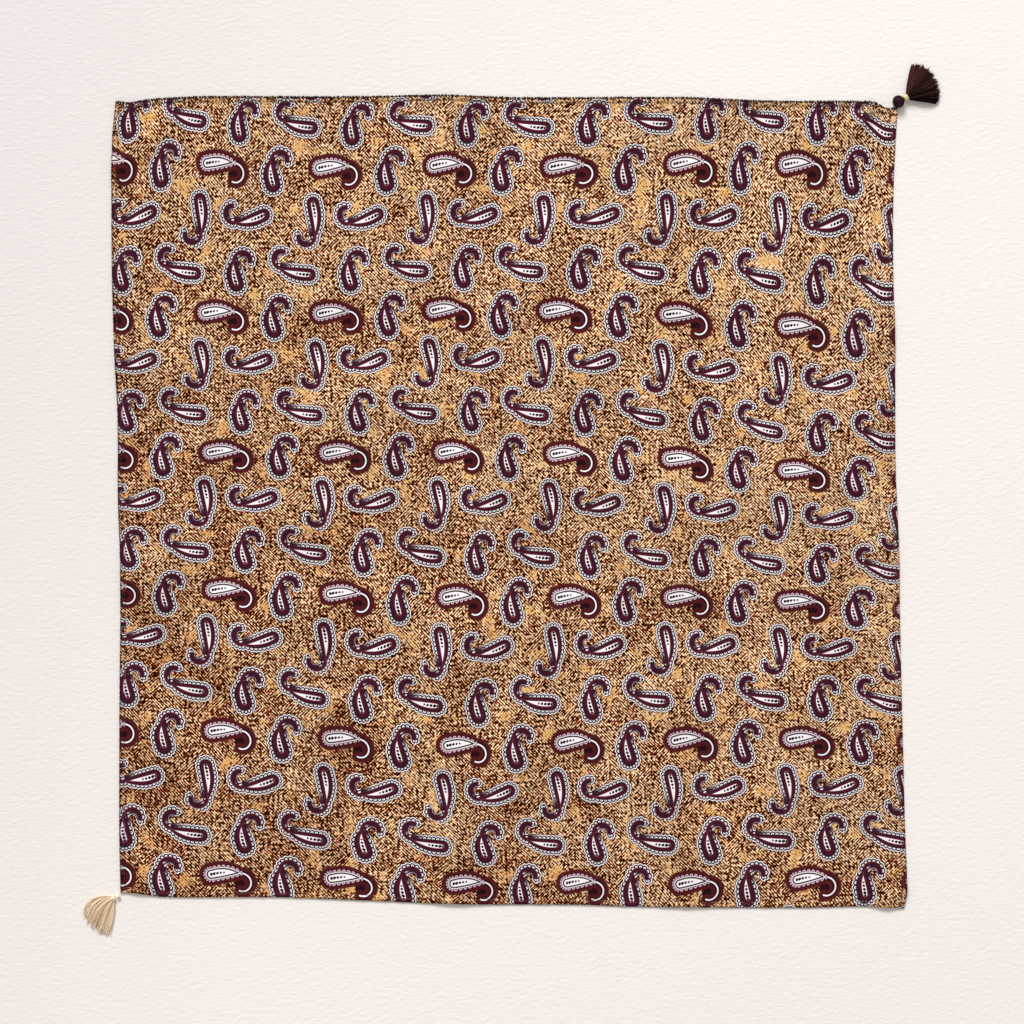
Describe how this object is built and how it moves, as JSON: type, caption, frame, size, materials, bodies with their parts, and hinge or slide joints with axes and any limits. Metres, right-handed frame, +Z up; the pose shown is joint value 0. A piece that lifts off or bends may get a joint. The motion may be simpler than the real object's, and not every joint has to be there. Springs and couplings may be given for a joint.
{
  "type": "square scarf with corner tassels",
  "caption": "Square printed paisley scarf laid flat, with narrow rolled hems and a small thread tassel at opposite corners.",
  "frame": {"origin": "on the surface the scarf lies on, under the middle of the cloth", "axes": "+Z up out of the printed face, +X to the right and +Y to the top edge as the picture shows it"},
  "size_m": [0.5745, 0.5852, 0.0078],
  "materials": {
    "printed_cloth": "twill with a small paisley print, soft satin sheen",
    "hem_cloth": "rolled edge of the same printed twill, dark stitching",
    "dark_thread": "dark brown twisted thread",
    "gold_thread": "gold-yellow binding thread",
    "natural_thread": "natural beige thread"
  },
  "bodies": {
    "root": {"panel": "printed_cloth", "hem_top": "hem_cloth", "hem_right": "hem_cloth", "hem_bottom": "hem_cloth", "hem_left": "hem_cloth", "dark_bead": "dark_thread", "dark_binding": "gold_thread", "dark_skirt": "dark_thread", "natural_head": "natural_thread", "natural_binding": "natural_thread", "natural_skirt": "natural_thread"}
  },
  "joints": []
}
